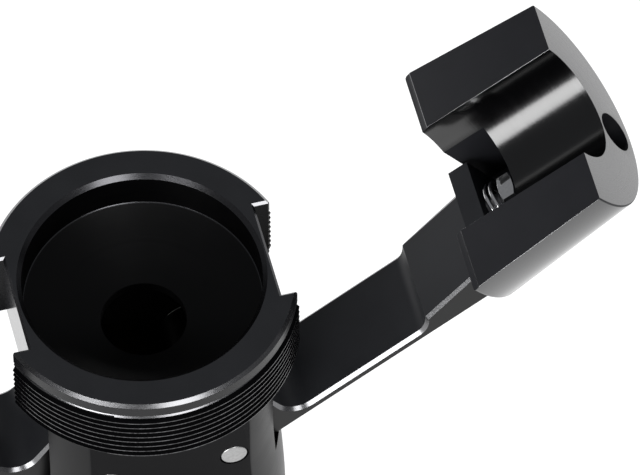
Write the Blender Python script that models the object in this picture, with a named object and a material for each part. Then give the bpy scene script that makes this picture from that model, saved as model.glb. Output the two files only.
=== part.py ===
"""Folding laser collimator head with two hinged arms that carry a split tapered sleeve.

The threaded collar is on top, the hub with its two hinge pins is under it, and the lower body holds the
laser module, the driver board, three button cells and the switch. All sizes below are in millimetres.
"""
import math

import bmesh
import bpy
from mathutils import Matrix, Vector

MM = 0.001

# ---- gaps -------------------------------------------------------------------------------------------
SEAT_GAP = 0.3            # between faces that rest on each other
ROUND_GAP = 0.15          # radial gap of a pin or screw in its hole

# ---- threaded collar --------------------------------------------------------------------------------
THREAD_R = 19.2           # crest radius of the outside thread
THREAD_DEPTH = 0.6
PILOT_R = 18.95           # plain band above the thread
PILOT_HEIGHT = 2.0
COLLAR_HEIGHT = 11.0
TOP_CHAMFER = 0.42
MOUTH_CHAMFER = 0.55
BORE_DEPTH = 5.4          # straight wall above the funnel
FUNNEL_DEPTH = 9.35
THROAT_R = 5.26
NOTCH_WALL = 1.05         # wall left between the bore and each arm notch
NOTCH_SIDE_CLEARANCE = 0.83

# ---- arms -------------------------------------------------------------------------------------------
PIVOT_X = 8.0             # hinge axis to the sleeve's axis
OPEN_ANGLE = math.radians(35.7)
ARM_HALF_WIDTH = 5.87
PLATE_THICKNESS = 1.21
PLATE_TILT = 0.0227       # the plate rises by this much for each millimetre along it
EDGE_CHAMFER = 0.42
THREAD_CLEARANCE = 0.1    # folded arm inside the thread's root
NOTCH_CLEARANCE = 1.59    # folded arm outside the notch's flat
KNUCKLE_R = 5.5
KNUCKLE_HALF_WIDTH = 6.9
HEEL_S = -1.5
ROOT_WALL_S = 4.8
ROOT_FILLET = 2.66
STEP_START_S = 25.4
STEP_END_S = 27.2
STEP_TOP_N = -6.9
RAMP_TOP_N = -3.9
STUB_START_S = 39.4
STUB_LENGTH = 2.8
STUB_TOP_N = 0.1
TOE_BEVEL = 0.6

# ---- jaws (two halves of the sleeve) ----------------------------------------------------------------
SLEEVE_INNER_R = 16.3     # big end, next to the arm
SLEEVE_OUTER_R = 14.75    # small end
SLEEVE_LENGTH = 19.6
SLEEVE_CHAMFER = 0.5
SLEEVE_END_CHAMFER = 0.3
FLAT_BEVEL_LENGTH = 1.1   # shallow bevel where each flat meets the big end
FLAT_BEVEL_DEPTH = 0.35
HALF_SPLIT = 0.2          # from each flat to the middle plane when folded
TROUGH_R = 7.84
STUB_OVERLAP = 0.95       # how far the stub reaches into the jaw's pocket
POCKET_LENGTH = 6.05
POCKET_SIDE_CLEARANCE = 0.63
POCKET_FLOOR_N = -6.3     # below this the jaw stays solid
JAW_TRAVEL = 0.8

# ---- jaw screw, nut and spring ----------------------------------------------------------------------
SCREW_N = -3.0
SCREW_R = 1.5
SCREW_HEAD_R = 2.5
SCREW_HEAD_LENGTH = 2.5
SCREW_SOCKET_R = 1.4
SCREW_SOCKET_DEPTH = 1.4
SCREW_BITE = 1.7          # how far the screw goes into the stub
COUNTERBORE_DEPTH = 10.0
NUT_ACROSS_CORNERS = 6.35
NUT_THICKNESS = 2.1
SPRING_R = 3.1
SPRING_WIRE = 0.5
SPRING_TURNS = 2.0

# ---- hub --------------------------------------------------------------------------------------------
NECK_R = 16.2
BODY_R = 17.0
BODY_CHAMFER = 0.25
NECK_CURVE_LOW = 28.0     # the body starts to narrow
NECK_CURVE_HIGH = 50.0    # the neck is straight from here up
FLAT_Y = 12.75
FLAT_LOW_Z = 34.0
SLOT_HALF_WIDTH = 7.9
HEEL_CLEARANCE = 0.3934   # between the slot's floor and the heel of a folding arm
COLLAR_ABOVE_PIVOT = 13.0
PIN_R = 1.7
PIN_CHAMFER = 0.2
WASHER_R = 4.5
WASHER_THICKNESS = 0.4

# ---- lower body and laser ---------------------------------------------------------------------------
CAP_HEIGHT = 9.0
CAP_R = 16.6
CAP_KNURLS = 32
KNURL_DEPTH = 0.5
CAP_CHAMFER = 0.8
CAP_SPIGOT = 6.5
CAP_SPIGOT_R = 13.1
CAP_FLOOR = 2.5
CELL_BAY_R = 13.4
CELL_BAY_TOP = 24.0
LASER_BAY_LENGTH = 16.0
LASER_R = 6.0
LASER_WALL = 1.4
LASER_LENGTH = 14.7
LENS_R = 3.6
LENS_THICKNESS = 1.6
LENS_CROWN = 0.6
LENS_SEAT_DEPTH = 4.4
LENS_SEAT_LIP = 1.0
LENS_RING_THICKNESS = 1.2
DIODE_R = 2.8
DIODE_LENGTH = 3.5
DIODE_FLANGE_R = 4.2
DIODE_FLANGE = 1.2
CELL_R = 5.8
CELL_THICKNESS = 5.4
CELL_COUNT = 3
CONTACT_WIRE = 0.4
CONTACT_HEIGHT = 1.3
BOARD_R = 9.0
BOARD_THICKNESS = 1.0
RING_CORD_R = 0.5         # O-ring section
RING_GROOVE_Z = 1.0
RING_GROOVE_HEIGHT = 2.0

# ---- fasteners --------------------------------------------------------------------------------------
LONG_SCREW_R = 1.25
LONG_SCREW_HEAD_R = 2.2
LONG_SCREW_HEAD = 2.2
LONG_SCREW_X = 3.6
LONG_SCREW_BITE = 2.6
SET_SCREW_R = 1.5
SET_SCREW_LENGTH = 6.0
SET_SCREW_Z = 31.0
SET_SCREW_ANGLES = (90.0, 210.0, 330.0)
SET_SCREW_SOCKET_R = 0.8
SET_SCREW_SOCKET_DEPTH = 1.6

# ---- switch -----------------------------------------------------------------------------------------
BUTTON_Z = 27.0
BUTTON_R = 2.9
BUTTON_PROUD = 0.9
BUTTON_LENGTH = 3.4
BUTTON_DOME = 0.5
BUTTON_TRAVEL = 0.6
BUTTON_SPRING_SPACE = 1.5
BEZEL_R = 5.0
BEZEL_DEPTH = 1.6
BEZEL_PROUD = 0.4
BUTTON_SPRING_WIRE = 0.3

# ---- facets -----------------------------------------------------------------------------------------
LARGE = 64                # round faces of the collar, hub and sleeve
MEDIUM = 24
SMALL = 16

# ---- sizes that follow from the ones above ----------------------------------------------------------
PLATE_BOTTOM_N = -(THREAD_R - THREAD_DEPTH - PIVOT_X - THREAD_CLEARANCE)
PLATE_TOP_N = PLATE_BOTTOM_N + PLATE_THICKNESS
NOTCH_FLAT_X = PIVOT_X - PLATE_TOP_N - NOTCH_CLEARANCE
NOTCH_HALF_WIDTH = ARM_HALF_WIDTH + NOTCH_SIDE_CLEARANCE
BORE_R = NOTCH_FLAT_X - NOTCH_WALL
STUB_END_S = STUB_START_S + STUB_LENGTH
JAW_INNER_S = STUB_END_S - STUB_OVERLAP
JAW_OUTER_S = JAW_INNER_S + SLEEVE_LENGTH
JAW_FLAT_N = PIVOT_X - HALF_SPLIT
TOE_S = JAW_INNER_S - JAW_TRAVEL - SEAT_GAP
STUB_BOTTOM_N = POCKET_FLOOR_N + SEAT_GAP
POCKET_WALL_S = JAW_INNER_S + POCKET_LENGTH
SLOT_FLOOR_Z = CELL_BAY_TOP + LASER_BAY_LENGTH
PIVOT_Z = SLOT_FLOOR_Z + math.hypot(HEEL_S, PLATE_BOTTOM_N) + HEEL_CLEARANCE
COLLAR_Z = PIVOT_Z + COLLAR_ABOVE_PIVOT
TOP_Z = COLLAR_Z + COLLAR_HEIGHT
HUB_BOTTOM_Z = CAP_HEIGHT + SEAT_GAP
LASER_BAY_R = LASER_R + 0.6
LONG_SCREW_Y = (SLOT_HALF_WIDTH + FLAT_Y) / 2
BUTTON_FRONT_Y = BODY_R + BUTTON_PROUD
BUTTON_BACK_Y = BUTTON_FRONT_Y - BUTTON_LENGTH
BUTTON_POCKET_Y = BUTTON_BACK_Y - BUTTON_SPRING_SPACE

ALONG_X = Matrix.Rotation(math.pi / 2, 4, "Y")
ALONG_Y = Matrix.Rotation(math.pi / 2, 4, "X")


# ---- materials --------------------------------------------------------------------------------------
def material(name, colour, metallic, roughness):
    """Make one Principled material."""
    made = bpy.data.materials.new(name)
    made.use_nodes = True
    shader = made.node_tree.nodes["Principled BSDF"]
    shader.inputs["Base Color"].default_value = (*colour, 1.0)
    shader.inputs["Metallic"].default_value = metallic
    shader.inputs["Roughness"].default_value = roughness
    made.diffuse_color = (*colour, 1.0)
    return made


def make_materials():
    """One entry for each finish on the object."""
    return {
        "black_anodised": material("black_anodised", (0.018, 0.018, 0.022), 0.6, 0.42),
        "chrome": material("chrome", (0.78, 0.78, 0.78), 1.0, 0.12),
        "steel": material("steel", (0.45, 0.45, 0.46), 1.0, 0.3),
        "brass": material("brass", (0.72, 0.53, 0.2), 1.0, 0.3),
        "nylon": material("nylon", (0.8, 0.8, 0.76), 0.0, 0.5),
        "glass": material("glass", (0.85, 0.9, 0.9), 0.0, 0.05),
        "board": material("board", (0.02, 0.2, 0.06), 0.0, 0.45),
        "rubber": material("rubber", (0.02, 0.02, 0.02), 0.0, 0.7),
        "red_plastic": material("red_plastic", (0.5, 0.02, 0.02), 0.0, 0.4),
    }


# ---- mesh building ----------------------------------------------------------------------------------
def closed_mesh(name, points, faces, transform):
    """Turn points in millimetres into a closed mesh in metres with its faces pointing out."""
    mesh = bpy.data.meshes.new(name)
    mesh.from_pydata([Vector(point) for point in points], [], faces)
    mesh.transform(Matrix.Scale(MM, 4) @ transform)
    work = bmesh.new()
    work.from_mesh(mesh)
    bmesh.ops.recalc_face_normals(work, faces=work.faces)
    work.to_mesh(mesh)
    work.free()
    mesh.shade_smooth()
    mesh.set_sharp_from_angle(angle=math.radians(30))
    return mesh


def add(name, mesh, finish, parent=None):
    """Put a mesh in the scene as a named object, optionally under an empty."""
    piece = bpy.data.objects.new(name, mesh)
    bpy.context.scene.collection.objects.link(piece)
    if finish is not None:
        mesh.materials.append(finish)
    if parent is not None:
        piece.parent = parent
    return piece


def turned(name, profile, steps, finish=None, parent=None, transform=Matrix()):
    """Spin a closed (radius, height) profile about Z. A radius of zero is one point on the axis."""
    points = []
    rings = []
    for radius, height in profile:
        if radius == 0:
            rings.append([len(points)] * steps)
            points.append((0, 0, height))
            continue
        rings.append(list(range(len(points), len(points) + steps)))
        for step in range(steps):
            turn = 2 * math.pi * step / steps
            points.append((radius * math.cos(turn), radius * math.sin(turn), height))
    faces = []
    for low, high in zip(rings, rings[1:] + rings[:1]):
        for step in range(steps):
            after = (step + 1) % steps
            corners = [low[step], low[after], high[after], high[step]]
            distinct = list(dict.fromkeys(corners))
            if len(distinct) > 2:
                faces.append(distinct)
    return add(name, closed_mesh(name, points, faces, transform), finish, parent)


def rod(name, radius, low, high, steps, finish=None, parent=None, transform=Matrix(), chamfer=0.0):
    """A round bar along Z, with an optional chamfer at both ends."""
    if chamfer > 0:
        profile = [(0, low), (radius - chamfer, low), (radius, low + chamfer)]
        profile += [(radius, high - chamfer), (radius - chamfer, high), (0, high)]
    else:
        profile = [(0, low), (radius, low), (radius, high), (0, high)]
    return turned(name, profile, steps, finish, parent, transform)


def lofted(name, sections, finish=None, parent=None, transform=Matrix()):
    """Join sections that have the same number of points, and close both ends."""
    count = len(sections[0])
    points = [point for section in sections for point in section]
    faces = [list(range(count)), list(range(len(points) - count, len(points)))]
    for index in range(len(sections) - 1):
        base = index * count
        for corner in range(count):
            after = (corner + 1) % count
            faces.append([base + corner, base + after, base + count + after, base + count + corner])
    return add(name, closed_mesh(name, points, faces, transform), finish, parent)


def across(outline, y):
    """Stand an (x, z) outline up in the plane of the given y."""
    return [(x, y, z) for x, z in outline]


def block(name, low, high, parent=None):
    """A box between two corners."""
    base = [(low[0], low[1]), (high[0], low[1]), (high[0], high[1]), (low[0], high[1])]
    sections = [[(x, y, z) for x, y in base] for z in (low[2], high[2])]
    return lofted(name, sections, parent=parent)


def coil(name, radius, wire, low, high, turns, finish, parent=None, transform=Matrix()):
    """An open coil spring along Z whose wire stays between two heights."""
    steps_per_turn = 14
    sides = 6
    steps = round(turns * steps_per_turn)
    reach = high - low - wire
    sections = []
    for step in range(steps + 1):
        turn = 2 * math.pi * step / steps_per_turn
        height = low + wire / 2 + reach * step / steps
        section = []
        for side in range(sides):
            lean = 2 * math.pi * side / sides
            out = radius - wire / 2 + wire / 2 * math.cos(lean)
            up = height + wire / 2 * math.sin(lean)
            section.append((out * math.cos(turn), out * math.sin(turn), up))
        sections.append(section)
    return lofted(name, sections, finish, parent, transform)


def boolean(target, tool, operation):
    """Add one exact Boolean modifier."""
    step = target.modifiers.new(tool.name, "BOOLEAN")
    step.object = tool
    step.operation = operation
    step.solver = "EXACT"
    tool.hide_render = True
    tool.display_type = "WIRE"


def cut(target, *tools):
    """Take each tool away from the target."""
    for tool in tools:
        boolean(target, tool, "DIFFERENCE")


def join(target, *tools):
    """Merge each tool into the target."""
    for tool in tools:
        boolean(target, tool, "UNION")


def empty(name, location, turn=(0, 0, 0), parent=None):
    """An empty on a joint's axis, placed in millimetres."""
    made = bpy.data.objects.new(name, None)
    bpy.context.scene.collection.objects.link(made)
    made.location = Vector(location) * MM
    made.rotation_euler = turn
    made.parent = parent
    return made


def arc(centre, radius, start, end, steps):
    """Points on an arc, with both ends, in degrees."""
    points = []
    for step in range(steps + 1):
        turn = math.radians(start + (end - start) * step / steps)
        points.append((centre[0] + radius * math.cos(turn), centre[1] + radius * math.sin(turn)))
    return points


# ---- collar and hub ---------------------------------------------------------------------------------
def make_collar(finish):
    """Threaded ring with a funnel, and a notch on each side that lets a folded arm past."""
    root_z = TOP_Z - PILOT_HEIGHT
    profile = [
        (THROAT_R, COLLAR_Z),
        (THREAD_R - THREAD_DEPTH, COLLAR_Z),
        (THREAD_R, COLLAR_Z + THREAD_DEPTH),
        (THREAD_R, root_z - THREAD_DEPTH),
        (PILOT_R, root_z),
        (PILOT_R, TOP_Z - TOP_CHAMFER),
        (PILOT_R - TOP_CHAMFER, TOP_Z),
        (BORE_R + MOUTH_CHAMFER, TOP_Z),
        (BORE_R, TOP_Z - MOUTH_CHAMFER),
        (BORE_R, TOP_Z - BORE_DEPTH),
        (THROAT_R, TOP_Z - FUNNEL_DEPTH),
    ]
    collar = turned("threaded_collar", profile, LARGE, finish)
    for side, sign in (("right", 1), ("left", -1)):
        near, far = sorted((sign * NOTCH_FLAT_X, sign * (THREAD_R + 2)))
        low = (near, -NOTCH_HALF_WIDTH, COLLAR_Z - 1)
        high = (far, NOTCH_HALF_WIDTH, TOP_Z + 1)
        cut(collar, block(side + "_notch_cutter", low, high))
    return collar


def neck_profile():
    """Outside of the hub from bottom to top: straight body, smooth waist, straight neck."""
    points = [(BODY_R - BODY_CHAMFER, HUB_BOTTOM_Z), (BODY_R, HUB_BOTTOM_Z + BODY_CHAMFER)]
    steps = 6
    for step in range(steps + 1):
        share = step / steps
        ease = share * share * (3 - 2 * share)
        height = NECK_CURVE_LOW + (NECK_CURVE_HIGH - NECK_CURVE_LOW) * share
        points.append((BODY_R + (NECK_R - BODY_R) * ease, height))
    points.append((NECK_R, COLLAR_Z - SEAT_GAP))
    return points


def slot_outline():
    """Side view of the slot: both floors are parallel to the underside of an open arm."""
    slope = math.tan(OPEN_ANGLE)
    floor_n = -PLATE_BOTTOM_N + SEAT_GAP
    start_x = PIVOT_X + floor_n * math.sin(OPEN_ANGLE)
    start_z = PIVOT_Z - floor_n * math.cos(OPEN_ANGLE)
    inner_x = start_x + (SLOT_FLOOR_Z - start_z) / slope
    reach = BODY_R + 10
    reach_z = SLOT_FLOOR_Z + (reach - inner_x) * slope
    top = COLLAR_Z + 5
    right = [(inner_x, SLOT_FLOOR_Z), (reach, reach_z), (reach, top)]
    left = [(-x, z) for x, z in reversed(right)]
    return right + left


def make_hub(finish):
    """Hub and lower body in one piece, with the arm slot, the laser bay and the cell bay."""
    top = COLLAR_Z - SEAT_GAP
    hub = turned("hub_body", neck_profile() + [(0, top), (0, HUB_BOTTOM_Z)], LARGE, finish)
    reach = BODY_R + 2
    for side, sign in (("front", -1), ("back", 1)):
        near, far = sorted((sign * FLAT_Y, sign * reach))
        cut(hub, block(side + "_flat_cutter", (-reach, near, FLAT_LOW_Z), (reach, far, top + 1)))
    outline = slot_outline()
    sections = [across(outline, -SLOT_HALF_WIDTH), across(outline, SLOT_HALF_WIDTH)]
    cut(hub, lofted("slot_cutter", sections))
    cut(hub, rod("laser_bay_cutter", LASER_BAY_R, CELL_BAY_TOP - 1, SLOT_FLOOR_Z + 1, MEDIUM))
    cut(hub, rod("cell_bay_cutter", CELL_BAY_R, HUB_BOTTOM_Z - 1, CELL_BAY_TOP, MEDIUM))
    for side, sign in (("right", 1), ("left", -1)):
        place = Matrix.Translation((sign * PIVOT_X, 0, PIVOT_Z)) @ ALONG_Y
        hole_r = PIN_R + ROUND_GAP
        cut(hub, rod(side + "_pin_cutter", hole_r, -reach, reach, SMALL, transform=place))
    return hub


def make_hinge_pin(side, hinge, finish):
    """Plain pin whose ends are flush with the hub's flats."""
    name = side + "_hinge_pin"
    rod(name, PIN_R, -FLAT_Y, FLAT_Y, SMALL, finish, hinge, ALONG_Y, PIN_CHAMFER)


def make_hinge_washers(side, facing, hinge, finish):
    """Thin washers that centre the arm's knuckle in the slot. Facing is -1 for a hinge turned back to front."""
    inner = PIN_R + ROUND_GAP
    low = SLOT_HALF_WIDTH - SEAT_GAP - WASHER_THICKNESS
    high = low + WASHER_THICKNESS
    for end, sign in (("front", 1), ("back", -1)):
        profile = [(inner, low), (WASHER_R, low), (WASHER_R, high), (inner, high)]
        profile = [(radius, facing * sign * height) for radius, height in profile]
        turned(f"{side}_{end}_washer", profile, SMALL, finish, hinge, ALONG_Y)


# ---- arms -------------------------------------------------------------------------------------------
def knuckle_tangent(point):
    """Angle in degrees where a line from the heel touches the knuckle on its far side."""
    distance = math.hypot(*point)
    bearing = math.atan2(point[1], point[0])
    return math.degrees(bearing - math.acos(KNUCKLE_R / distance)) % 360


def on_plate(s, thickness):
    """Point on the tilted plate: thickness 0 is its underside."""
    return (s, PLATE_BOTTOM_N + PLATE_TILT * (s - HEEL_S) + thickness)


def arm_outline():
    """Side view of an arm, and the range of its points that carry the edge chamfer."""
    heel = on_plate(HEEL_S, 0)
    toe = [on_plate(TOE_S - TOE_BEVEL, 0), on_plate(TOE_S, TOE_BEVEL), (TOE_S, STUB_BOTTOM_N)]
    stub = [(STUB_END_S, STUB_BOTTOM_N), (STUB_END_S, STUB_TOP_N), (STUB_START_S, STUB_TOP_N)]
    ramp = [(STUB_START_S, RAMP_TOP_N), (STEP_END_S, STEP_TOP_N)]
    step_start = on_plate(STEP_START_S, PLATE_THICKNESS)
    step_middle = ((STEP_START_S + STEP_END_S) / 2, step_start[1] + (STEP_TOP_N - step_start[1]) * 0.3)
    plate = [step_middle, step_start]
    fillet_start = on_plate(ROOT_WALL_S + ROOT_FILLET, PLATE_THICKNESS)
    fillet_centre = (fillet_start[0], fillet_start[1] + ROOT_FILLET)
    fillet = arc(fillet_centre, ROOT_FILLET, 270, 180, 6)
    wall_angle = math.degrees(math.acos(ROOT_WALL_S / KNUCKLE_R))
    knuckle = arc((0, 0), KNUCKLE_R, wall_angle, knuckle_tangent(heel), 12)
    before = [heel] + toe + stub
    chamfered = ramp + plate + fillet
    return before + chamfered + knuckle, len(before), len(before) + len(chamfered) - 1


def inset(outline, first, last, depth):
    """Move a run of outline points inwards, at right angles to the outline."""
    moved = list(outline)
    for index in range(first, last + 1):
        before = Vector(outline[index - 1])
        after = Vector(outline[(index + 1) % len(outline)])
        if index == first:
            before = Vector(outline[index])
        along = (after - before).normalized()
        inwards = Vector((-along.y, along.x))
        moved[index] = tuple(Vector(outline[index]) + inwards * depth)
    return moved


def make_arm(side, hinge, finish):
    """Thin plate from the knuckle to the stub that the jaw is screwed to."""
    outline, first, last = arm_outline()
    edge = inset(outline, first, last, EDGE_CHAMFER)
    inner = ARM_HALF_WIDTH - EDGE_CHAMFER
    sections = [
        across(edge, -ARM_HALF_WIDTH),
        across(outline, -inner),
        across(outline, inner),
        across(edge, ARM_HALF_WIDTH),
    ]
    arm = lofted(side + "_arm", sections, finish, hinge)
    width = KNUCKLE_HALF_WIDTH
    knuckle_r = KNUCKLE_R - 0.05
    join(arm, rod(side + "_knuckle_tool", knuckle_r, -width, width, MEDIUM, None, hinge, ALONG_Y))
    hole_r = PIN_R + ROUND_GAP
    reach = width + 1
    cut(arm, rod(side + "_knuckle_hole_cutter", hole_r, -reach, reach, SMALL, None, hinge, ALONG_Y))
    tap_low = STUB_END_S - SCREW_BITE - SEAT_GAP
    on_screw = Matrix.Translation((0, 0, SCREW_N)) @ ALONG_X
    tap_r = SCREW_R + ROUND_GAP
    cut(arm, rod(side + "_tap_cutter", tap_r, tap_low, STUB_END_S + 1, SMALL, None, hinge, on_screw))


# ---- jaws -------------------------------------------------------------------------------------------
def make_jaw(side, slide, finish):
    """Half of the tapered sleeve, with its trough, its pocket and its counterbored screw hole."""
    on_sleeve = Matrix.Translation((0, 0, PIVOT_X - SCREW_N)) @ ALONG_X
    profile = [
        (0, JAW_INNER_S),
        (SLEEVE_INNER_R - SLEEVE_CHAMFER, JAW_INNER_S),
        (SLEEVE_INNER_R, JAW_INNER_S + SLEEVE_CHAMFER),
        (SLEEVE_OUTER_R, JAW_OUTER_S - SLEEVE_END_CHAMFER),
        (SLEEVE_OUTER_R - SLEEVE_END_CHAMFER, JAW_OUTER_S),
        (0, JAW_OUTER_S),
    ]
    jaw = turned(side + "_jaw", profile, LARGE, finish, slide, on_sleeve)
    reach = SLEEVE_INNER_R + 2
    start = JAW_INNER_S - 1
    end = JAW_OUTER_S + 1
    flat = JAW_FLAT_N - SCREW_N
    cut(jaw, block(side + "_split_cutter", (start, -reach, flat), (end, reach, flat + reach), slide))
    bevel = [
        (JAW_INNER_S - FLAT_BEVEL_LENGTH, flat - 2 * FLAT_BEVEL_DEPTH),
        (JAW_INNER_S + 2 * FLAT_BEVEL_LENGTH, flat + FLAT_BEVEL_DEPTH),
        (JAW_INNER_S - FLAT_BEVEL_LENGTH, flat + FLAT_BEVEL_DEPTH),
    ]
    sections = [across(bevel, -reach), across(bevel, reach)]
    cut(jaw, lofted(side + "_bevel_cutter", sections, None, slide))
    on_trough = Matrix.Translation((0, 0, flat)) @ ALONG_X
    cut(jaw, rod(side + "_trough_cutter", TROUGH_R, start, end, LARGE, None, slide, on_trough))
    width = ARM_HALF_WIDTH + POCKET_SIDE_CLEARANCE
    low = (start, -width, POCKET_FLOOR_N - SCREW_N)
    cut(jaw, block(side + "_pocket_cutter", low, (POCKET_WALL_S, width, flat + 1), slide))
    head_s = JAW_OUTER_S - COUNTERBORE_DEPTH
    head_r = SCREW_HEAD_R + ROUND_GAP
    hole_r = SCREW_R + ROUND_GAP
    cut(jaw, rod(side + "_counterbore_cutter", head_r, head_s, end, SMALL, None, slide, ALONG_X))
    cut(jaw, rod(side + "_shank_cutter", hole_r, POCKET_WALL_S - 1, head_s + 1, SMALL, None, slide, ALONG_X))


def make_jaw_screw(side, slide, finish):
    """Socket head screw that holds the jaw on the stub."""
    seat = JAW_OUTER_S - COUNTERBORE_DEPTH + SEAT_GAP
    top = seat + SCREW_HEAD_LENGTH
    profile = [
        (0, STUB_END_S - SCREW_BITE),
        (SCREW_R, STUB_END_S - SCREW_BITE),
        (SCREW_R, seat),
        (SCREW_HEAD_R, seat),
        (SCREW_HEAD_R, top),
        (SCREW_SOCKET_R, top),
        (SCREW_SOCKET_R, top - SCREW_SOCKET_DEPTH),
        (0, top - SCREW_SOCKET_DEPTH),
    ]
    turned(side + "_jaw_screw", profile, SMALL, finish, slide, ALONG_X)


def make_jaw_nut(side, slide, finish):
    """Hexagon nut in the pocket, against the jaw."""
    high = POCKET_WALL_S - SEAT_GAP
    low = high - NUT_THICKNESS
    inner = SCREW_R + ROUND_GAP
    corners = 6
    flat_up = ALONG_X @ Matrix.Rotation(math.pi / corners, 4, "Z")
    nut = rod(side + "_jaw_nut", NUT_ACROSS_CORNERS / 2, low, high, corners, finish, slide, flat_up)
    cut(nut, rod(side + "_nut_cutter", inner, low - 1, high + 1, SMALL, None, slide, ALONG_X))


def make_jaw_spring(side, slide, finish):
    """Short coil between the stub and the nut."""
    low = STUB_END_S + SEAT_GAP
    high = POCKET_WALL_S - NUT_THICKNESS - 2 * SEAT_GAP
    name = side + "_jaw_spring"
    coil(name, SPRING_R, SPRING_WIRE, low, high, SPRING_TURNS, finish, slide, ALONG_X)


# ---- lower body -------------------------------------------------------------------------------------
def knurled_ring(radius, depth, height):
    """One level of the cap's outside: every other point is pushed in by the given depth."""
    points = []
    count = CAP_KNURLS * 2
    for index in range(count):
        turn = 2 * math.pi * index / count
        local = radius - depth * (index % 2)
        points.append((local * math.cos(turn), local * math.sin(turn), height))
    return points


def make_cap(finish):
    """Knurled screw cap under the cells. Its flat bottom is what the object stands on."""
    small = CAP_R - CAP_CHAMFER
    sections = [
        knurled_ring(small, 0, 0),
        knurled_ring(CAP_R, KNURL_DEPTH, CAP_CHAMFER),
        knurled_ring(CAP_R, KNURL_DEPTH, CAP_HEIGHT - CAP_CHAMFER),
        knurled_ring(small, 0, CAP_HEIGHT),
    ]
    cap = lofted("battery_cap", sections, finish)
    top = CAP_HEIGHT + CAP_SPIGOT
    groove_low = CAP_HEIGHT + RING_GROOVE_Z
    groove_high = groove_low + RING_GROOVE_HEIGHT
    groove_r = CAP_SPIGOT_R - 2 * RING_CORD_R - SEAT_GAP
    profile = [
        (0, CAP_FLOOR + 1),
        (CAP_SPIGOT_R - 1, CAP_FLOOR + 1),
        (CAP_SPIGOT_R, CAP_FLOOR + 2),
        (CAP_SPIGOT_R, groove_low),
        (groove_r, groove_low),
        (groove_r, groove_high),
        (CAP_SPIGOT_R, groove_high),
        (CAP_SPIGOT_R, top),
        (0, top),
    ]
    join(cap, turned("spigot_tool", profile, MEDIUM))
    cut(cap, rod("cap_bore_cutter", CELL_R + SEAT_GAP, CAP_FLOOR, top + 1, MEDIUM))


def make_cap_ring(finish):
    """O-ring in the groove of the cap's spigot."""
    centre_r = CAP_SPIGOT_R - RING_CORD_R
    centre_z = CAP_HEIGHT + RING_GROOVE_Z + RING_GROOVE_HEIGHT / 2
    sides = 6
    profile = arc((centre_r, centre_z), RING_CORD_R, 0, 360 * (sides - 1) / sides, sides - 1)
    turned("cap_o_ring", profile, MEDIUM, finish)


def cell_low(index):
    """Bottom of a button cell in the stack."""
    first = CAP_FLOOR + CONTACT_HEIGHT + 2 * SEAT_GAP
    return first + index * (CELL_THICKNESS + SEAT_GAP)


def make_cells(finish, spring_finish):
    """Stack of button cells on their contact spring."""
    for index in range(CELL_COUNT):
        low = cell_low(index)
        rod(f"button_cell_{index + 1}", CELL_R, low, low + CELL_THICKNESS, MEDIUM, finish, chamfer=0.5)
    low = CAP_FLOOR + SEAT_GAP
    high = low + CONTACT_HEIGHT
    coil("contact_spring", CELL_R - 1.5, CONTACT_WIRE, low, high, 1.5, spring_finish)


def make_board(finish):
    """Round driver board between the cells and the laser."""
    low = cell_low(CELL_COUNT)
    rod("driver_board", BOARD_R, low, low + BOARD_THICKNESS, MEDIUM, finish)


def make_laser(metal, can, glass):
    """Brass barrel with the diode at the bottom, the lens at the top and a ring over the lens."""
    high = SLOT_FLOOR_Z - SEAT_GAP
    low = high - LASER_LENGTH
    inner = LASER_R - LASER_WALL
    lip_high = high - LENS_SEAT_DEPTH
    barrel = [
        (inner, low),
        (LASER_R, low),
        (LASER_R, high),
        (inner, high),
        (inner, lip_high),
        (inner - LENS_SEAT_LIP - ROUND_GAP, lip_high),
        (inner - LENS_SEAT_LIP - ROUND_GAP, lip_high - LENS_SEAT_LIP),
        (inner, lip_high - LENS_SEAT_LIP),
    ]
    turned("laser_barrel", barrel, MEDIUM, metal)
    diode = [
        (0, low + SEAT_GAP),
        (DIODE_FLANGE_R, low + SEAT_GAP),
        (DIODE_FLANGE_R, low + SEAT_GAP + DIODE_FLANGE),
        (DIODE_R, low + SEAT_GAP + DIODE_FLANGE),
        (DIODE_R, low + SEAT_GAP + DIODE_LENGTH),
        (0, low + SEAT_GAP + DIODE_LENGTH),
    ]
    turned("laser_diode", diode, MEDIUM, can)
    lens_low = lip_high + SEAT_GAP
    lens_edge = lens_low + LENS_THICKNESS - LENS_CROWN
    lens = [
        (0, lens_low),
        (LENS_R + 0.5, lens_low),
        (LENS_R + 0.5, lens_edge),
        (LENS_R * 0.75, lens_edge + LENS_CROWN * 0.55),
        (LENS_R * 0.4, lens_edge + LENS_CROWN * 0.88),
        (0, lens_edge + LENS_CROWN),
    ]
    turned("collimating_lens", lens, MEDIUM, glass)
    ring_low = lens_low + LENS_THICKNESS + SEAT_GAP
    ring_high = ring_low + LENS_RING_THICKNESS
    ring_outer = inner - ROUND_GAP
    ring_inner = LENS_R * 0.7
    ring = [(ring_inner, ring_low), (ring_outer, ring_low), (ring_outer, ring_high), (ring_inner, ring_high)]
    turned("lens_ring", ring, MEDIUM, metal)


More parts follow.
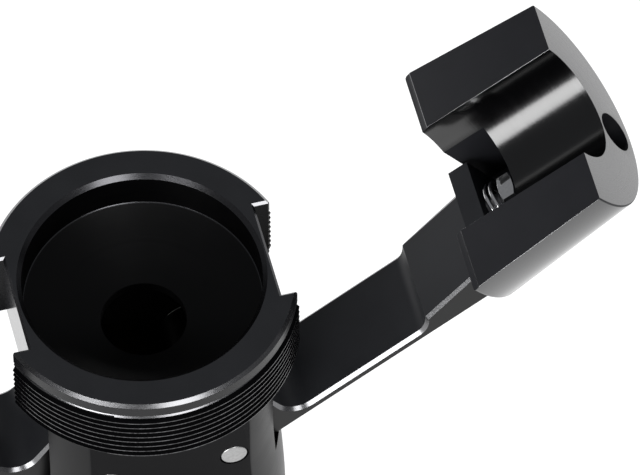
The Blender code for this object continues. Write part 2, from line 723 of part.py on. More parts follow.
def make_long_screws(hub, collar, finish):
    """Four screws that go up through the hub's cheeks and hold the collar."""
    head_low = CELL_BAY_TOP
    head_high = head_low + LONG_SCREW_HEAD
    tip = COLLAR_Z + LONG_SCREW_BITE
    number = 0
    for x in (-LONG_SCREW_X, LONG_SCREW_X):
        for y in (-LONG_SCREW_Y, LONG_SCREW_Y):
            number += 1
            place = Matrix.Translation((x, y, 0))
            profile = [
                (0, head_low),
                (LONG_SCREW_HEAD_R, head_low),
                (LONG_SCREW_HEAD_R, head_high),
                (LONG_SCREW_R, head_high),
                (LONG_SCREW_R, tip),
                (0, tip),
            ]
            turned(f"collar_screw_{number}", profile, SMALL, finish, transform=place)
            hole_r = LONG_SCREW_R + ROUND_GAP
            seat_r = LONG_SCREW_HEAD_R + ROUND_GAP
            hole = [
                (0, CELL_BAY_TOP - 1),
                (seat_r, CELL_BAY_TOP - 1),
                (seat_r, head_high + SEAT_GAP),
                (hole_r, head_high + SEAT_GAP),
                (hole_r, tip + SEAT_GAP),
                (0, tip + SEAT_GAP),
            ]
            tool = turned(f"collar_screw_cutter_{number}", hole, SMALL, transform=place)
            cut(hub, tool)
            cut(collar, tool)


def make_set_screws(hub, finish):
    """Grub screws that centre the laser barrel."""
    near = LASER_R + SEAT_GAP
    far = near + SET_SCREW_LENGTH
    profile = [
        (0, near),
        (SET_SCREW_R, near),
        (SET_SCREW_R, far),
        (SET_SCREW_SOCKET_R, far),
        (SET_SCREW_SOCKET_R, far - SET_SCREW_SOCKET_DEPTH),
        (0, far - SET_SCREW_SOCKET_DEPTH),
    ]
    for number, angle in enumerate(SET_SCREW_ANGLES, 1):
        place = Matrix.Translation((0, 0, SET_SCREW_Z))
        place = place @ Matrix.Rotation(math.radians(angle), 4, "Z") @ ALONG_X
        turned(f"collimation_screw_{number}", profile, SMALL, finish, transform=place)
        hole_r = SET_SCREW_R + ROUND_GAP
        name = f"collimation_hole_{number}"
        cut(hub, rod(name, hole_r, LASER_R - 1, BODY_R + 2, SMALL, transform=place))


def make_switch(hub, cap_finish, bezel_finish, spring_finish):
    """Spring-loaded push button in a bezel on the front of the lower body."""
    slide = empty("button_axis", (0, 0, BUTTON_Z))
    profile = [
        (0, BUTTON_BACK_Y),
        (BUTTON_R, BUTTON_BACK_Y),
        (BUTTON_R, BUTTON_FRONT_Y - BUTTON_DOME),
        (BUTTON_R * 0.75, BUTTON_FRONT_Y - BUTTON_DOME * 0.4),
        (0, BUTTON_FRONT_Y),
    ]
    turned("push_button", profile, SMALL, cap_finish, slide, ALONG_Y)
    inner = BUTTON_R + ROUND_GAP
    bezel_back = BODY_R - BEZEL_DEPTH
    bezel_front = BODY_R + BEZEL_PROUD
    bezel = [
        (inner, bezel_back),
        (BEZEL_R, bezel_back),
        (BEZEL_R, bezel_front - BEZEL_PROUD),
        (BEZEL_R - BEZEL_PROUD, bezel_front),
        (inner, bezel_front),
    ]
    turned("button_bezel", bezel, MEDIUM, bezel_finish, slide, ALONG_Y)
    low = BUTTON_POCKET_Y + SEAT_GAP
    high = BUTTON_BACK_Y - SEAT_GAP
    coil("button_spring", BUTTON_R - 0.5, BUTTON_SPRING_WIRE, low, high, 1.5, spring_finish, slide, ALONG_Y)
    pocket = rod("button_pocket_cutter", inner, BUTTON_POCKET_Y, BODY_R + 3, SMALL, None, slide, ALONG_Y)
    seat_r = BEZEL_R + ROUND_GAP
    seat = rod("bezel_cutter", seat_r, bezel_back - SEAT_GAP, BODY_R + 3, MEDIUM, None, slide, ALONG_Y)
    cut(hub, pocket, seat)


# ---- the whole object -------------------------------------------------------------------------------
def make_side(side, sign, finishes):
    """One hinge with everything that folds on it."""
    turn = (0, -OPEN_ANGLE, 0 if sign > 0 else math.pi)
    hinge = empty(side + "_hinge_axis", (sign * PIVOT_X, 0, PIVOT_Z), turn)
    slide = empty(side + "_jaw_axis", (0, 0, SCREW_N), parent=hinge)
    make_hinge_pin(side, hinge, finishes["chrome"])
    make_hinge_washers(side, sign, hinge, finishes["nylon"])
    make_arm(side, hinge, finishes["black_anodised"])
    make_jaw(side, slide, finishes["black_anodised"])
    make_jaw_screw(side, slide, finishes["steel"])
    make_jaw_nut(side, slide, finishes["chrome"])
    make_jaw_spring(side, slide, finishes["chrome"])


def main():
    """Clear the scene and build every piece."""
    for old in list(bpy.data.objects):
        bpy.data.objects.remove(old, do_unlink=True)
    finishes = make_materials()
    black = finishes["black_anodised"]
    collar = make_collar(black)
    hub = make_hub(black)
    make_side("right", 1, finishes)
    make_side("left", -1, finishes)
    make_long_screws(hub, collar, finishes["steel"])
    make_set_screws(hub, finishes["steel"])
    make_switch(hub, finishes["red_plastic"], finishes["chrome"], finishes["steel"])
    make_laser(finishes["brass"], finishes["steel"], finishes["glass"])
    make_board(finishes["board"])
    make_cells(finishes["steel"], finishes["brass"])
    make_cap(black)
    make_cap_ring(finishes["rubber"])
    bpy.context.view_layer.update()


main()
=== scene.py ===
import math

import bmesh
import bpy
from mathutils import Matrix, Vector


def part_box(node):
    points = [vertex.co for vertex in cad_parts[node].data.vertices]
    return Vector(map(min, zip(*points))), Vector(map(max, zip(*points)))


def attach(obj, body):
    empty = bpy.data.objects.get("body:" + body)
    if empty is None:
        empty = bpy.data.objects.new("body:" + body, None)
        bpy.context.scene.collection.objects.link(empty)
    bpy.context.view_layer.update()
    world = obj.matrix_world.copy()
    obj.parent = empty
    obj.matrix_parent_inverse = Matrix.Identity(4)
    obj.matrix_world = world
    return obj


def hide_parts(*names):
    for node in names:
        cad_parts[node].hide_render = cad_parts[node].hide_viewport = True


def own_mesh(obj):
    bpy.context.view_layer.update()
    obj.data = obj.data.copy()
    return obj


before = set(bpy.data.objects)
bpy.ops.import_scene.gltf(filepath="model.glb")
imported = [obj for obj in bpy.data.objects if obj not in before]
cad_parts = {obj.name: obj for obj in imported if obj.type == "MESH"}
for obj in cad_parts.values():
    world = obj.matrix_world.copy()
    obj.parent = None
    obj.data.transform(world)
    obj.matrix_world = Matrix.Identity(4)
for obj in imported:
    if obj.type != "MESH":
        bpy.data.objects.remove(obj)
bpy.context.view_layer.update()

MM = 0.001

# ---- sizes in millimetres, shared with the CAD part --------------------------------------------------
TOP_Z = 75.0
COLLAR_Z = 64.0
PIVOT_X = 8.0
PIVOT_Z = 51.0
OPEN_ANGLE = math.radians(35.7)
THREAD_R = 19.2
THREAD_DEPTH = 0.6
THREAD_PITCH = 1.0
BAND_R = 18.95
BAND_LOW = TOP_Z - 1.99
THREAD_HIGH = TOP_Z - 2.26
TOP_CHAMFER = 0.42
MOUTH_CHAMFER = 0.55
NOTCH_X = 15.7
NOTCH_HALF_WIDTH = 6.7
BORE_R = 14.65
BORE_DEPTH = 5.4
FUNNEL_DEPTH = 9.35
THROAT_R = 5.26
HUB_TOP = COLLAR_Z - 0.3
HUB_BOTTOM = 9.3
BODY_R = 17.0
NECK_R = 16.2
FLAT_Y = 12.75
FLAT_LOW_Z = 34.0
SLOT_HALF_WIDTH = 7.9
SLOT_FLOOR_Z = 40.0
SLOT_FLOOR_N = 10.8
PIN_R = 1.7
CELL_BAY_TOP = 24.0
ARM_HALF_WIDTH = 5.87
PLATE_TILT = 0.0227
PLATE_THICKNESS = 1.21
PLATE_LOW_N = -10.5
HEEL_S = -1.5
EDGE_CHAMFER = 0.42
KNUCKLE_R = 5.5
KNUCKLE_HALF_WIDTH = 6.9
ROOT_WALL_S = 4.8
ROOT_FILLET = 2.66
STEP_START_S = 24.7
STEP_END_S = 27.2
STEP_TOP_N = -6.9
STEP_POINTS = 12
STEP_CURVE = 2.1
RAMP_TOP_N = -3.9
STUB_START_S = 39.4
STUB_END_S = 42.2
STUB_TOP_N = 0.1
STUB_BOTTOM_N = -6.0
TOE_S = 40.15
JAW_INNER_S = 41.25
JAW_OUTER_S = 60.85
JAW_FLAT_N = 7.8
JAW_INNER_R = 16.3
JAW_OUTER_R = 14.75
TROUGH_R = 7.84
POCKET_END_S = 47.3
POCKET_FLOOR_N = -6.3
POCKET_HALF_WIDTH = 6.5
SCREW_N = -3.0
SCREW_R = 1.5
HEAD_R = 2.5
COUNTERBORE_DEPTH = 10.0
CAP_R = 16.6
BUTTON_Z = 27.0
NECK_START_Z = 28.0
NECK_HEIGHT = 22.0
NECK_STEPS = 24
LASER_BAY_R = 6.6
CELL_BAY_R = 13.4
COLLAR_SCREW_X = 3.6
COLLAR_SCREW_Y = 10.325
COLLAR_SCREW_HOLE_R = 1.4
COLLAR_SCREW_HEAD_R = 2.35
COLLAR_SCREW_HEAD_Z = 26.5
GRUB_Z = 31.0
GRUB_ANGLES = (90, 210, 330)
GRUB_HOLE_R = 1.65
BUTTON_HOLE_R = 3.05
BUTTON_HOLE_START = 13.0
BEZEL_SEAT_R = 5.15
BEZEL_SEAT_START = 15.1
PIN_HOLE_GAP = 0.12       # round the pin in the hub
KNUCKLE_HOLE_GAP = 0.15   # round the pin in the arms and washers
SCREW_HOLE_GAP = 0.1      # round the jaw screw's shank
SPRING_START_S = STUB_END_S + 0.3
CHAMFER_CORNER_X = 17.45  # where the collar's notch starts to flare
FLARE_X = 22
PAST = 20                 # far enough to cut right through

ROUND = 192               # facets of the large round faces
FINE = 64                 # facets of the small ones
ALONG_X = Matrix.Rotation(math.pi / 2, 4, "Y")
ALONG_Y = Matrix.Rotation(math.pi / 2, 4, "X")

# ---- camera and softboxes ----------------------------------------------------------------------------
CAMERA_PLACE = (-0.1032, -0.4977)
CAMERA_ABOVE_COLLAR = 0.7503
CAMERA_FORWARD = (0.1380, 0.5475, -0.8253)
CAMERA_LENS = 421.3
CAMERA_ROLL = -0.4
LIT_POINT = (0, 0, 0.065)


# ---- mesh building -----------------------------------------------------------------------------------
def make(name, points, faces, transform=Matrix()):
    """A closed mesh from points in millimetres, with its faces pointing out."""
    mesh = bpy.data.meshes.new(name)
    mesh.from_pydata([Vector(point) for point in points], [], faces)
    mesh.transform(Matrix.Scale(MM, 4) @ transform)
    work = bmesh.new()
    work.from_mesh(mesh)
    bmesh.ops.remove_doubles(work, verts=work.verts, dist=1e-8)
    bmesh.ops.recalc_face_normals(work, faces=work.faces)
    work.to_mesh(mesh)
    work.free()
    piece = bpy.data.objects.new(name, mesh)
    bpy.context.scene.collection.objects.link(piece)
    return piece


def turned(name, profile, steps, transform=Matrix()):
    """Spin a closed (radius, height) profile about Z."""
    points = []
    rings = []
    for radius, height in profile:
        if radius == 0:
            rings.append([len(points)] * steps)
            points.append((0, 0, height))
            continue
        rings.append(list(range(len(points), len(points) + steps)))
        for step in range(steps):
            turn = 2 * math.pi * step / steps
            points.append((radius * math.cos(turn), radius * math.sin(turn), height))
    faces = []
    for low, high in zip(rings, rings[1:] + rings[:1]):
        for step in range(steps):
            after = (step + 1) % steps
            corners = list(dict.fromkeys([low[step], low[after], high[after], high[step]]))
            if len(corners) > 2:
                faces.append(corners)
    return make(name, points, faces, transform)


def rod(name, radius, low, high, steps=FINE, transform=Matrix(), edge=0.0):
    """A round bar along Z with rounded ends when edge is above zero."""
    if edge == 0:
        return turned(name, [(0, low), (radius, low), (radius, high), (0, high)], steps, transform)
    profile = [(0, low)] + arc((radius - edge, low + edge), edge, -90, 0, 4)
    profile += arc((radius - edge, high - edge), edge, 0, 90, 4) + [(0, high)]
    return turned(name, profile, steps, transform)


def lofted(name, sections, transform=Matrix()):
    """Join sections that have the same number of points, and close both ends."""
    count = len(sections[0])
    points = [point for section in sections for point in section]
    faces = [list(range(count)), list(range(len(points) - count, len(points)))]
    for index in range(len(sections) - 1):
        base = index * count
        for corner in range(count):
            after = (corner + 1) % count
            faces.append([base + corner, base + after, base + count + after, base + count + corner])
    return make(name, points, faces, transform)


def across(outline, y):
    """Stand an (x, z) outline up in the plane of the given y."""
    return [(x, y, z) for x, z in outline]


def block(name, low, high):
    """A box between two corners."""
    base = [(low[0], low[1]), (high[0], low[1]), (high[0], high[1]), (low[0], high[1])]
    return lofted(name, [[(x, y, z) for x, y in base] for z in (low[2], high[2])])


def arc(centre, radius, start, end, steps):
    """Points on an arc, with both ends, in degrees."""
    points = []
    for step in range(steps + 1):
        turn = math.radians(start + (end - start) * step / steps)
        points.append((centre[0] + radius * math.cos(turn), centre[1] + radius * math.sin(turn)))
    return points


def drum(name, profile, steps, transform=Matrix()):
    """A round bar along Z from (radius, height) rings, with one flat face at each end."""
    sections = []
    for radius, height in profile:
        turns = [2 * math.pi * step / steps for step in range(steps)]
        sections.append([(radius * math.cos(turn), radius * math.sin(turn), height) for turn in turns])
    return lofted(name, sections, transform)


def coil(name, radius, wire, low, high, turns, transform=Matrix()):
    """An open coil spring along Z, its wire closed off at both ends."""
    per_turn = 48
    sides = 12
    steps = round(turns * per_turn)
    reach = high - low - wire
    sections = []
    for step in range(steps + 1):
        turn = 2 * math.pi * step / per_turn
        height = low + wire / 2 + reach * step / steps
        section = []
        for side in range(sides):
            lean = 2 * math.pi * side / sides
            out = radius - wire / 2 + wire / 2 * math.cos(lean)
            up = height + wire / 2 * math.sin(lean)
            section.append((out * math.cos(turn), out * math.sin(turn), up))
        sections.append(section)
    return lofted(name, sections, transform)


def bake(piece):
    """Turn the modifiers of a piece into its mesh."""
    bpy.context.view_layer.update()
    seen = piece.evaluated_get(bpy.context.evaluated_depsgraph_get())
    old = piece.data
    piece.data = bpy.data.meshes.new_from_object(seen)
    piece.modifiers.clear()
    bpy.data.meshes.remove(old)


def shape(piece, operation, *tools):
    """Cut the tools away from the piece, or join them to it."""
    for tool in tools:
        step = piece.modifiers.new("shape", "BOOLEAN")
        step.object = tool
        step.operation = operation
        step.solver = "EXACT"
        bake(piece)
        bpy.data.objects.remove(tool, do_unlink=True)


def cut(piece, *tools):
    """Cut the tools away from the piece."""
    shape(piece, "DIFFERENCE", *tools)


def join(piece, *tools):
    """Join the tools to the piece."""
    shape(piece, "UNION", *tools)


def soften(piece, width, angle):
    """Break the sharp edges by width millimetres."""
    work = bmesh.new()
    work.from_mesh(piece.data)
    bmesh.ops.remove_doubles(work, verts=work.verts, dist=0.012 * MM)
    bmesh.ops.dissolve_degenerate(work, edges=work.edges, dist=0.004 * MM)
    work.to_mesh(piece.data)
    work.free()
    step = piece.modifiers.new("edges", "BEVEL")
    step.width = width * MM
    step.segments = 1
    step.limit_method = "ANGLE"
    step.angle_limit = math.radians(angle)
    bake(piece)


def smooth(piece, angle=30):
    """Smooth shading, with sharp edges where the faces turn by more than angle degrees."""
    piece.data.shade_smooth()
    piece.data.set_sharp_from_angle(angle=math.radians(angle))


# ---- materials ---------------------------------------------------------------------------------------
def grain_vector(nodes, links, style, centre):
    """Coordinates for the fine texture: plain, or rings round the lathe axis of a turned piece."""
    place = nodes.new("ShaderNodeTexCoord").outputs["Object"]
    if style == "plain":
        return place
    axis = {"lathe_z": (1, 1, 0), "lathe_x": (0, 1, 1), "lathe_y": (1, 0, 1)}[style]
    moved = nodes.new("ShaderNodeVectorMath")
    moved.operation = "SUBTRACT"
    moved.inputs[1].default_value = [value * MM for value in centre]
    links.new(place, moved.inputs[0])
    flat = nodes.new("ShaderNodeVectorMath")
    flat.operation = "MULTIPLY"
    flat.inputs[1].default_value = axis
    links.new(moved.outputs[0], flat.inputs[0])
    length = nodes.new("ShaderNodeVectorMath")
    length.operation = "LENGTH"
    links.new(flat.outputs[0], length.inputs[0])
    parts = nodes.new("ShaderNodeSeparateXYZ")
    links.new(moved.outputs[0], parts.inputs[0])
    ring = nodes.new("ShaderNodeCombineXYZ")
    links.new(length.outputs["Value"], ring.inputs[0])
    links.new(parts.outputs[{"lathe_z": 2, "lathe_x": 0, "lathe_y": 1}[style]], ring.inputs[1])
    return ring.outputs[0]


def noise(nodes, links, vector, scale, detail):
    """Output of a noise texture on the given coordinates."""
    made = nodes.new("ShaderNodeTexNoise")
    made.inputs["Scale"].default_value = scale
    made.inputs["Detail"].default_value = detail
    links.new(vector, made.inputs["Vector"])
    return made.outputs["Fac"]


def finish(name, dark, light, metallic, rough, level=0.5, style="plain", scale=3500.0, bump=0.06,
           depth=0.01, centre=(0, 0, 0), coat=0.0, ior=1.5):
    """One procedural finish. Colour and roughness wander between two values; the grain is raised."""
    made = bpy.data.materials.new(name)
    made.use_nodes = True
    nodes = made.node_tree.nodes
    links = made.node_tree.links
    shader = nodes["Principled BSDF"]
    shader.inputs["Metallic"].default_value = metallic
    shader.inputs["IOR"].default_value = ior
    shader.inputs["Specular IOR Level"].default_value = level
    shader.inputs["Coat Weight"].default_value = coat
    shader.inputs["Coat Roughness"].default_value = 0.12
    vector = grain_vector(nodes, links, style, centre)
    plain = nodes.new("ShaderNodeTexCoord").outputs["Object"]
    grain = noise(nodes, links, vector, scale, 3.0)
    patches = noise(nodes, links, plain, 260.0, 4.0)
    ramp = nodes.new("ShaderNodeValToRGB")
    ramp.color_ramp.elements[0].position = 0.3
    ramp.color_ramp.elements[0].color = (*dark, 1)
    ramp.color_ramp.elements[1].position = 0.7
    ramp.color_ramp.elements[1].color = (*light, 1)
    both = nodes.new("ShaderNodeMath")
    both.operation = "MULTIPLY_ADD"
    both.inputs[1].default_value = 0.65
    links.new(grain, both.inputs[0])
    share = nodes.new("ShaderNodeMath")
    share.operation = "MULTIPLY"
    share.inputs[1].default_value = 0.35
    links.new(patches, share.inputs[0])
    links.new(share.outputs[0], both.inputs[2])
    links.new(both.outputs[0], ramp.inputs[0])
    links.new(ramp.outputs[0], shader.inputs["Base Color"])
    wander = nodes.new("ShaderNodeMapRange")
    wander.inputs["From Min"].default_value = 0.25
    wander.inputs["From Max"].default_value = 0.75
    wander.inputs["To Min"].default_value = rough[0]
    wander.inputs["To Max"].default_value = rough[1]
    links.new(both.outputs[0], wander.inputs[0])
    links.new(wander.outputs[0], shader.inputs["Roughness"])
    lift = nodes.new("ShaderNodeBump")
    lift.inputs["Strength"].default_value = bump
    lift.inputs["Distance"].default_value = depth * MM
    links.new(grain, lift.inputs["Height"])
    links.new(lift.outputs[0], shader.inputs["Normal"])
    return made


BLACK_DARK = (0.0125, 0.0132, 0.0152)
BLACK_LIGHT = (0.0205, 0.0215, 0.0245)
blasted = finish("blasted_black", BLACK_DARK, BLACK_LIGHT, 0.0, (0.42, 0.56), 0.3, scale=9000, bump=0.3)
# The hub's flats and turned sides take blacks far darker than the collar's and arms' black: painted shade
# on the hub below the collar.
hub_painted_shade = finish("hub_painted_shade", (0.0015, 0.0015, 0.0019), (0.003, 0.003, 0.0037), 0.0, (0.3, 0.42), 0.04,
                   scale=9000, bump=0.2)
hub_side_painted_shade = finish("hub_side_painted_shade", (0.002, 0.002, 0.0025), (0.0045, 0.0045, 0.005), 0.0, (0.28, 0.38), 0.07,
                  "lathe_z", 5200, 0.12)
turned_z = finish("turned_black", (0.002, 0.002, 0.0026), (0.005, 0.005, 0.006), 0.0, (0.22, 0.32), 0.18,
                  "lathe_z", 5200, 0.12)
# The trough's black is set far darker than the jaw's own black: painted shade in the hollow. Its glossy
# stripe comes from the lamps.
trough_painted_shade = finish("trough_painted_shade", (0.0004, 0.0004, 0.0005), (0.0015, 0.0015, 0.0018), 0.0,
                      (0.12, 0.19), 0.75,
                      "lathe_x", 5200, 0.25, centre=(0, 0, PIVOT_X))
sleeve_black = finish("sleeve_black", (0.003, 0.003, 0.004), (0.006, 0.006, 0.007), 0.0, (0.1, 0.16), 0.6,
                      "lathe_x", 5200, 0.1, centre=(0, 0, PIVOT_X), ior=1.8)
# Near-black copy of the anodised black: painted shade for the collar's bore and funnel, the hub's arm slot
# and the arms' knuckles.
painted_shade_black = finish("painted_shade_black", (0.0003, 0.0003, 0.0004), (0.001, 0.001, 0.0012), 0.0,
                      (0.3, 0.42), 0.2,
                      "lathe_z", 4200, 0.15)
# Faced end of each jaw: glossier than the jaw's body, with its black raised above the jaw's own black to
# stand for the light it catches: painted light.
end_painted_light = finish("faced_black_painted_light", (0.02, 0.02, 0.023), (0.032, 0.032, 0.037), 0.0, (0.22, 0.3), 0.85,
                   "lathe_x", 4200, 0.12, centre=(0, 0, PIVOT_X), ior=1.8)
milled = finish("milled_black", (0.012, 0.012, 0.014), (0.02, 0.02, 0.024), 0.0, (0.12, 0.2), 1.0,
                scale=5000,
                bump=0.05, ior=1.8)
cut_edge = finish("cut_edge", (0.13, 0.13, 0.135), (0.2, 0.2, 0.205), 1.0, (0.2, 0.3), scale=6000,
                  bump=0.08)
# Dimmed copy of the cut-edge finish for edges in the bore: painted shade on the mouth chamfer, and a
# painted highlight line on the small step at the bore's floor.
bore_edge_shade_and_highlight = finish("bore_edge_shade_and_highlight", (0.05, 0.05, 0.053), (0.085, 0.085, 0.09), 1.0, (0.2, 0.3), scale=6000,
                   bump=0.08)
crest = finish("thread_crest", (0.004, 0.004, 0.0045), (0.2, 0.2, 0.205), 1.0, (0.2, 0.34), scale=2600,
               bump=0.5,
               depth=0.03)
# Darker copy of the turned black for the thread flanks and grooves: painted shade in the grooves.
thread_painted_shade = finish("thread_painted_shade", (0.0006, 0.0006, 0.0008), (0.0018, 0.0018, 0.0022), 0.0,
                      (0.24, 0.34), 0.06,
                      "lathe_z", 5200, 0.12)
jaw_black = finish("jaw_black", (0.0085, 0.0088, 0.0108), (0.0145, 0.015, 0.018), 0.0, (0.42, 0.56), 0.28,
                   scale=9000, bump=0.3)
chrome = finish("chrome", (0.72, 0.72, 0.73), (0.84, 0.84, 0.84), 1.0, (0.05, 0.12), scale=2500, bump=0.04)
pin_chrome = finish("pin_end", (0.28, 0.28, 0.28), (0.42, 0.42, 0.42), 1.0, (0.24, 0.4), scale=2600,
                    bump=0.5, depth=0.03)
steel = finish("steel", (0.36, 0.36, 0.37), (0.52, 0.52, 0.53), 1.0, (0.24, 0.34), scale=3000, bump=0.05)
brass = finish("brass", (0.62, 0.44, 0.15), (0.78, 0.58, 0.24), 1.0, (0.24, 0.36), 0.5, "lathe_z",
               4000, 0.1)
nylon = finish("nylon", (0.72, 0.72, 0.68), (0.84, 0.84, 0.8), 0.0, (0.42, 0.55), scale=1500, bump=0.08)
board = finish("board", (0.012, 0.15, 0.045), (0.025, 0.24, 0.08), 0.0, (0.35, 0.5), scale=1800, bump=0.08)
rubber = finish("rubber", (0.014, 0.014, 0.014), (0.026, 0.026, 0.026), 0.0, (0.6, 0.75), scale=2200,
                bump=0.1)
red = finish("button_red", (0.42, 0.014, 0.014), (0.56, 0.026, 0.024), 0.0, (0.26, 0.38), scale=2400,
             bump=0.04)
glass = finish("coated_glass", (0.05, 0.09, 0.13), (0.08, 0.13, 0.19), 0.0, (0.03, 0.07), 0.8,
               scale=900, bump=0.01,
               coat=0.6)


def paint(piece, finishes, rule):
    """Give each face the finish whose name the rule returns from its centre (mm) and normal."""
    names = list(finishes)
    piece.data.materials.clear()
    for name in names:
        piece.data.materials.append(finishes[name])
    for face in piece.data.polygons:
        face.material_index = names.index(rule(face.center / MM, face.normal))


def coat(piece, one):
    """Give the whole piece one finish."""
    piece.data.materials.clear()
    piece.data.materials.append(one)
    for face in piece.data.polygons:
        face.material_index = 0


def place(piece, body, node, slot, at=Matrix()):
    """Put the piece on its CAD body in place of its CAD node."""
    smooth(piece)
    piece.matrix_world = at
    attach(piece, body)
    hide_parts(node)


# ---- collar ------------------------------------------------------------------------------------------
def thread_radius(z, share):
    """Radius of the threaded part at a height and a share of a turn."""
    low_end = THREAD_R - THREAD_DEPTH + z - COLLAR_Z
    high_end = BAND_R - (BAND_LOW - THREAD_HIGH) + THREAD_HIGH - z
    limit = min(THREAD_R, low_end, high_end)
    phase = (z - THREAD_START) / THREAD_PITCH - share
    rise = abs(2 * (phase - math.floor(phase)) - 1)
    rise = min(1.0, max(0.0, (rise - 0.2) / 0.68))
    return min(limit, THREAD_R - THREAD_DEPTH * (1 - rise))


THREAD_START = TOP_Z - 3.28 - 0.75 * THREAD_PITCH
THREAD_PHASES = (-0.06, 0.06, 0.22, 0.4, 0.6, 0.78)


def collar_grid(steps):
    """Rows of points: out from the throat, up the helical thread, in over the top, down the funnel."""
    rows = [[(THROAT_R + 0.25, COLLAR_Z)] * (steps + 1), [(17.0, COLLAR_Z)] * (steps + 1)]
    first = math.floor((COLLAR_Z - THREAD_START) / THREAD_PITCH) - 1
    count = math.ceil((THREAD_HIGH - COLLAR_Z) / THREAD_PITCH + 2)
    for phase in [first + turn + phase for turn in range(count + 1) for phase in THREAD_PHASES]:
        row = []
        for step in range(steps + 1):
            share = step / steps
            z = THREAD_START + THREAD_PITCH * (phase + share)
            z = min(THREAD_HIGH, max(COLLAR_Z, z))
            row.append((thread_radius(z, share), z))
        rows.append(row)
    plain = [
        (BAND_R, BAND_LOW),
        (BAND_R, TOP_Z - TOP_CHAMFER),
        (BAND_R - TOP_CHAMFER, TOP_Z),
        (BORE_R + MOUTH_CHAMFER, TOP_Z),
        (BORE_R, TOP_Z - MOUTH_CHAMFER),
        (BORE_R, TOP_Z - BORE_DEPTH + 0.07),
        (BORE_R - 0.12, TOP_Z - BORE_DEPTH - 0.05),
        (THROAT_R, TOP_Z - FUNNEL_DEPTH),
        (THROAT_R, COLLAR_Z + 0.25),
    ]
    return rows + [[point] * (steps + 1) for point in plain]


def notch_outline(sign, grow, z):
    """Section of a side notch. It flares where the collar's chamfer begins."""
    side = NOTCH_HALF_WIDTH + grow
    spread = FLARE_X - CHAMFER_CORNER_X
    half = [(NOTCH_X - grow, -side), (CHAMFER_CORNER_X, -side), (FLARE_X, -side - spread)]
    half += [(FLARE_X, side + spread), (CHAMFER_CORNER_X, side), (NOTCH_X - grow, side)]
    return [(sign * x, y, z) for x, y in half]


def make_collar():
    """Threaded collar with a funnel and two side notches."""
    steps = 240
    rows = collar_grid(steps)
    points = []
    for row in rows:
        for step, (radius, z) in enumerate(row):
            turn = 2 * math.pi * (step % steps) / steps
            points.append((radius * math.cos(turn), radius * math.sin(turn), z))
    faces = []
    wide = steps + 1
    for low in range(len(rows)):
        high = (low + 1) % len(rows)
        for step in range(steps):
            below = low * wide + step
            above = high * wide + step
            faces.append([below, below + 1, above + 1, above])
    mesh = bpy.data.meshes.new("collar")
    mesh.from_pydata([Vector(point) * MM for point in points], [], faces)
    work = bmesh.new()
    work.from_mesh(mesh)
    bmesh.ops.remove_doubles(work, verts=work.verts, dist=2e-7)
    bmesh.ops.dissolve_degenerate(work, edges=work.edges, dist=1e-8)
    bmesh.ops.recalc_face_normals(work, faces=work.faces)
    work.to_mesh(mesh)
    work.free()
    collar = bpy.data.objects.new("collar_visual", mesh)
    bpy.context.scene.collection.objects.link(collar)
    for sign in (1, -1):
        lip = 0.3
        sections = [notch_outline(sign, 0, COLLAR_Z - 1), notch_outline(sign, 0, TOP_Z - lip),
                    notch_outline(sign, 1, TOP_Z + 1 - lip)]
        cut(collar, lofted("notch", sections))
    for x in (-COLLAR_SCREW_X, COLLAR_SCREW_X):
        for y in (-COLLAR_SCREW_Y, COLLAR_SCREW_Y):
            at = Matrix.Translation((x, y, 0))
            cut(collar, rod("hole", COLLAR_SCREW_HOLE_R, COLLAR_Z - 1, COLLAR_Z + 2.9, 32, at))

    def rule(centre, normal):
        radius = math.hypot(centre.x, centre.y)
        if centre.z > TOP_Z - 0.01 and normal.z > 0.95:
            return "top"
        # Top chamfers: the bare cut edge outside; inside the mouth, the dimmed edge finish as painted
        # shade.
        if centre.z > TOP_Z - 0.6 and 0.3 < normal.z < 0.95:
            return "edge" if radius > BORE_R + 1 else "bore_edge_shade_and_highlight"
        # The small step at the bore's floor gets the dimmed edge finish: a painted highlight line.
        if abs(centre.z - TOP_Z + BORE_DEPTH) < 0.04 and radius < BORE_R:
            return "bore_edge_shade_and_highlight"
        # Bore and funnel take the near-black finish: painted shade inside the collar.
        if radius < BORE_R + 0.02:
            return "funnel"
        if BAND_LOW - 0.3 < centre.z < BAND_LOW + 0.02 and normal.z < -0.3 and radius > 18:
            return "edge"
        start_cone = BAND_R - BAND_LOW + 2 * THREAD_HIGH - centre.z
        if centre.z > THREAD_HIGH - 0.6 and abs(radius - start_cone) < 0.04 and 0.5 < normal.z < 0.8:
            return "edge"
        if radius > THREAD_R - 0.01 and centre.z < THREAD_HIGH:
            return "crest"
        # Thread flanks and grooves take the darker black: painted shade in the grooves.
        if centre.z < THREAD_HIGH and radius > THREAD_R - THREAD_DEPTH - 0.05:
            return "thread"
        if abs(normal.x) > 0.95 and abs(abs(centre.x) - NOTCH_X) < 0.05:
            return "milled"
        return "turned"
    finishes = {"top": blasted, "edge": cut_edge, "bore_edge_shade_and_highlight": bore_edge_shade_and_highlight, "funnel": painted_shade_black,
                "crest": crest, "thread": thread_painted_shade, "milled": milled, "turned": turned_z}
    paint(collar, finishes, rule)
    place(collar, "base", "threaded_collar", "black_anodised")


# ---- hub ---------------------------------------------------------------------------------------------
def grub_frame(angle):
    """Frame of a set screw that points out of the hub at an angle in degrees."""
    return Matrix.Translation((0, 0, GRUB_Z)) @ Matrix.Rotation(math.radians(angle), 4, "Z") @ ALONG_X


